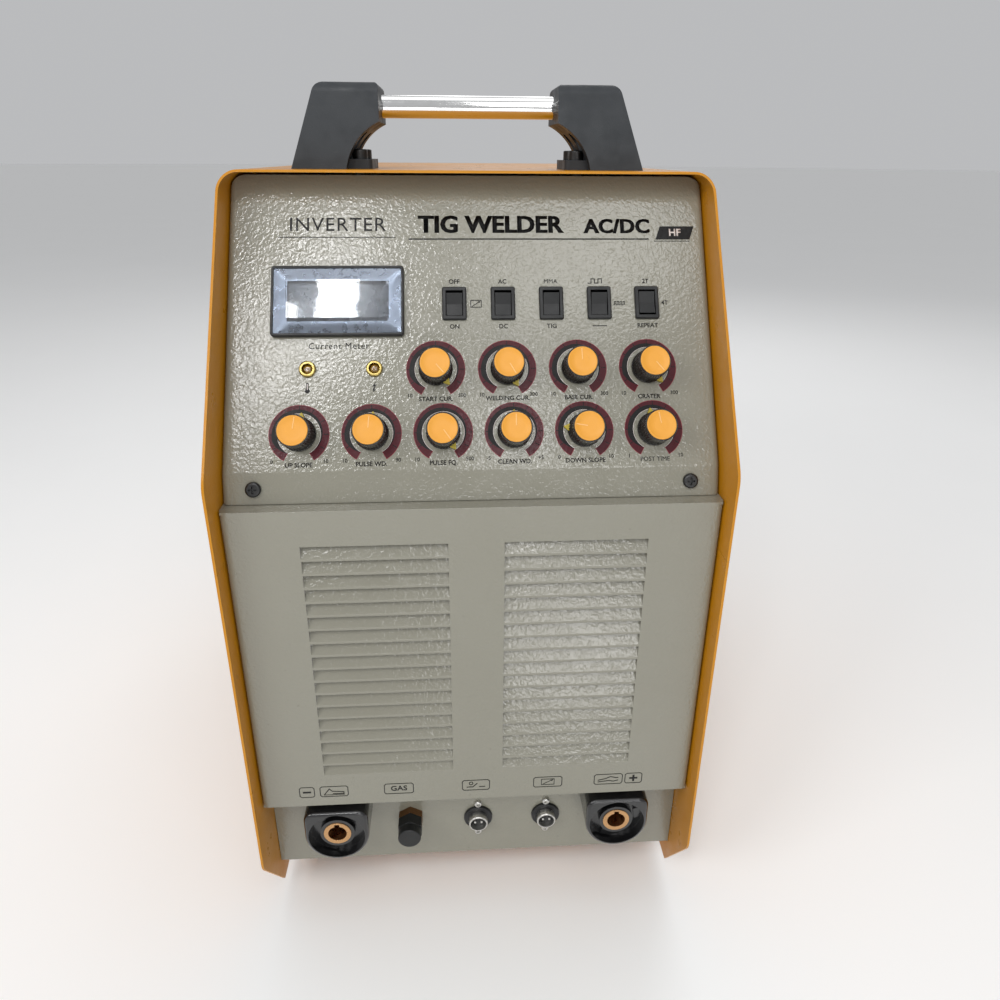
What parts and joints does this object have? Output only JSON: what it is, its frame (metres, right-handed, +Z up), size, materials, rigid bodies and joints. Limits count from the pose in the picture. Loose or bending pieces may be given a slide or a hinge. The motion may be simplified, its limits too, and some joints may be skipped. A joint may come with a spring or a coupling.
{
  "type": "tig welding machine",
  "caption": "Upright cabinet TIG welding machine with a sloping control panel, louvred front, recessed output sockets and a top carrying handle.",
  "frame": {"origin": "on the ground, under the middle of the machine's bounding box", "axes": "+Z up, -Y the control side, +X to the right of somebody facing the controls"},
  "size_m": [0.3082, 0.52, 0.584],
  "materials": {
    "yellow_paint": "gloss powder coat",
    "grey_paint": "gloss wrinkle powder coat",
    "zinc_steel": "zinc plated",
    "black_screw": "black oxide",
    "rubber": "matt",
    "bracket_plastic": "fine grain",
    "polished_tube": "polished",
    "black_plastic": "satin",
    "breaker_plastic": "satin",
    "lever_plastic": "satin",
    "socket_plastic": "gloss",
    "brass": "machined",
    "clear_window": "clear",
    "display": "smoked",
    "lamp_lens": "clear tinted",
    "knob_plastic": "satin with a coloured cap",
    "potentiometer_metal": "plated",
    "heatsink_aluminium": "extruded",
    "circuit_board": "coated",
    "core_iron": "varnished",
    "igniter_case": "moulded"
  },
  "bodies": {
    "case": {"top_cover": "yellow_paint", "base_tray": "yellow_paint", "control_panel": "grey_paint", "louvre_panel": "grey_paint", "connector_panel": "grey_paint", "rear_panel": "grey_paint", "cover_screws": "zinc_steel", "rear_screws": "zinc_steel", "fan_guard": "zinc_steel", "control_socket_screws": "zinc_steel", "control_socket_shells": "zinc_steel", "mid_deck": "zinc_steel", "panel_screws": "black_screw", "handle_bolts": "black_screw", "rubber_feet": "rubber", "handle_bracket_right": "bracket_plastic", "handle_bracket_left": "bracket_plastic", "handle_tube": "polished_tube", "fan_frame": "black_plastic", "cable_gland": "black_plastic", "meter_bezel": "black_plastic", "switch_frames": "black_plastic", "control_socket_rings": "black_plastic", "control_socket_inserts": "black_plastic", "breaker_body": "breaker_plastic", "output_socket_shells": "socket_plastic", "output_socket_contacts": "brass", "gas_outlet": "brass", "gas_inlet": "brass", "earth_stud": "brass", "lamp_bezels": "brass", "gas_valve": "brass", "meter_window": "clear_window", "meter_display": "display", "lamp_lenses": "lamp_lens", "potentiometers": "potentiometer_metal", "heatsinks": "heatsink_aluminium", "power_board": "circuit_board", "control_board": "circuit_board", "main_transformer": "core_iron", "output_inductor": "core_iron", "hf_igniter": "igniter_case"},
    "knob_start_current": {"knob_start_current": "knob_plastic"},
    "knob_weld_current": {"knob_weld_current": "knob_plastic"},
    "knob_base_current": {"knob_base_current": "knob_plastic"},
    "knob_crater_current": {"knob_crater_current": "knob_plastic"},
    "knob_up_slope": {"knob_up_slope": "knob_plastic"},
    "knob_pulse_width": {"knob_pulse_width": "knob_plastic"},
    "knob_pulse_frequency": {"knob_pulse_frequency": "knob_plastic"},
    "knob_cleaning_width": {"knob_cleaning_width": "knob_plastic"},
    "knob_down_slope": {"knob_down_slope": "knob_plastic"},
    "knob_post_flow": {"knob_post_flow": "knob_plastic"},
    "rocker_remote": {"rocker_remote": "black_plastic"},
    "rocker_ac_dc": {"rocker_ac_dc": "black_plastic"},
    "rocker_process": {"rocker_process": "black_plastic"},
    "rocker_pulse": {"rocker_pulse": "black_plastic"},
    "rocker_trigger_mode": {"rocker_trigger_mode": "black_plastic"},
    "breaker_lever": {"breaker_lever": "lever_plastic"},
    "fan_rotor": {"fan_rotor": "black_plastic"},
    "gas_cap": {"gas_cap": "black_plastic"}
  },
  "joints": [
    {"name": "start_current_turn", "type": "hinge", "parent": "case", "child": "knob_start_current", "pos_m": [-0.023, -0.20192, 0.41993], "axis": [0, -0.8721, 0.4894], "range_deg": [-10, 290]},
    {"name": "weld_current_turn", "type": "hinge", "parent": "case", "child": "knob_weld_current", "pos_m": [0.0206, -0.20192, 0.41993], "axis": [0, -0.8721, 0.4894], "range_deg": [0, 300]},
    {"name": "base_current_turn", "type": "hinge", "parent": "case", "child": "knob_base_current", "pos_m": [0.0642, -0.20192, 0.41993], "axis": [0, -0.8721, 0.4894], "range_deg": [-152, 148]},
    {"name": "crater_current_turn", "type": "hinge", "parent": "case", "child": "knob_crater_current", "pos_m": [0.1078, -0.20192, 0.41993], "axis": [0, -0.8721, 0.4894], "range_deg": [-10, 290]},
    {"name": "up_slope_turn", "type": "hinge", "parent": "case", "child": "knob_up_slope", "pos_m": [-0.1045, -0.22091, 0.3861], "axis": [0, -0.8721, 0.4894], "range_deg": [-142, 158]},
    {"name": "pulse_width_turn", "type": "hinge", "parent": "case", "child": "knob_pulse_width", "pos_m": [-0.0617, -0.22091, 0.3861], "axis": [0, -0.8721, 0.4894], "range_deg": [-145, 155]},
    {"name": "pulse_frequency_turn", "type": "hinge", "parent": "case", "child": "knob_pulse_frequency", "pos_m": [-0.0189, -0.22091, 0.3861], "axis": [0, -0.8721, 0.4894], "range_deg": [-5, 295]},
    {"name": "cleaning_width_turn", "type": "hinge", "parent": "case", "child": "knob_cleaning_width", "pos_m": [0.0239, -0.22091, 0.3861], "axis": [0, -0.8721, 0.4894], "range_deg": [-150, 150]},
    {"name": "down_slope_turn", "type": "hinge", "parent": "case", "child": "knob_down_slope", "pos_m": [0.0667, -0.22091, 0.3861], "axis": [0, -0.8721, 0.4894], "range_deg": [-230, 70]},
    {"name": "post_flow_turn", "type": "hinge", "parent": "case", "child": "knob_post_flow", "pos_m": [0.1095, -0.22091, 0.3861], "axis": [0, -0.8721, 0.4894], "range_deg": [-160, 140]},
    {"name": "remote_rock", "type": "hinge", "parent": "case", "child": "rocker_remote", "pos_m": [-0.0111, -0.17997, 0.45497], "axis": [1, 0, 0], "range_deg": [-22, 0]},
    {"name": "ac_dc_rock", "type": "hinge", "parent": "case", "child": "rocker_ac_dc", "pos_m": [0.019, -0.17997, 0.45497], "axis": [1, 0, 0], "range_deg": [-22, 0]},
    {"name": "process_rock", "type": "hinge", "parent": "case", "child": "rocker_process", "pos_m": [0.0491, -0.17997, 0.45497], "axis": [1, 0, 0], "range_deg": [-22, 0]},
    {"name": "pulse_rock", "type": "hinge", "parent": "case", "child": "rocker_pulse", "pos_m": [0.0792, -0.17997, 0.45497], "axis": [1, 0, 0], "range_deg": [-22, 0]},
    {"name": "trigger_mode_rock", "type": "hinge", "parent": "case", "child": "rocker_trigger_mode", "pos_m": [0.1093, -0.17997, 0.45497], "axis": [1, 0, 0], "range_deg": [-11, 11]},
    {"name": "breaker_switch", "type": "hinge", "parent": "case", "child": "breaker_lever", "pos_m": [-0.095, 0.2275, 0.45], "axis": [1, 0, 0], "range_deg": [0, 60]},
    {"name": "fan_spin", "type": "hinge", "parent": "case", "child": "fan_rotor", "pos_m": [0, 0.2, 0.335], "axis": [0, 1, 0], "continuous": true},
    {"name": "gas_cap_pull", "type": "slide", "parent": "case", "child": "gas_cap", "axis": [0, -1, 0], "range_m": [0, 0.03]}
  ]
}
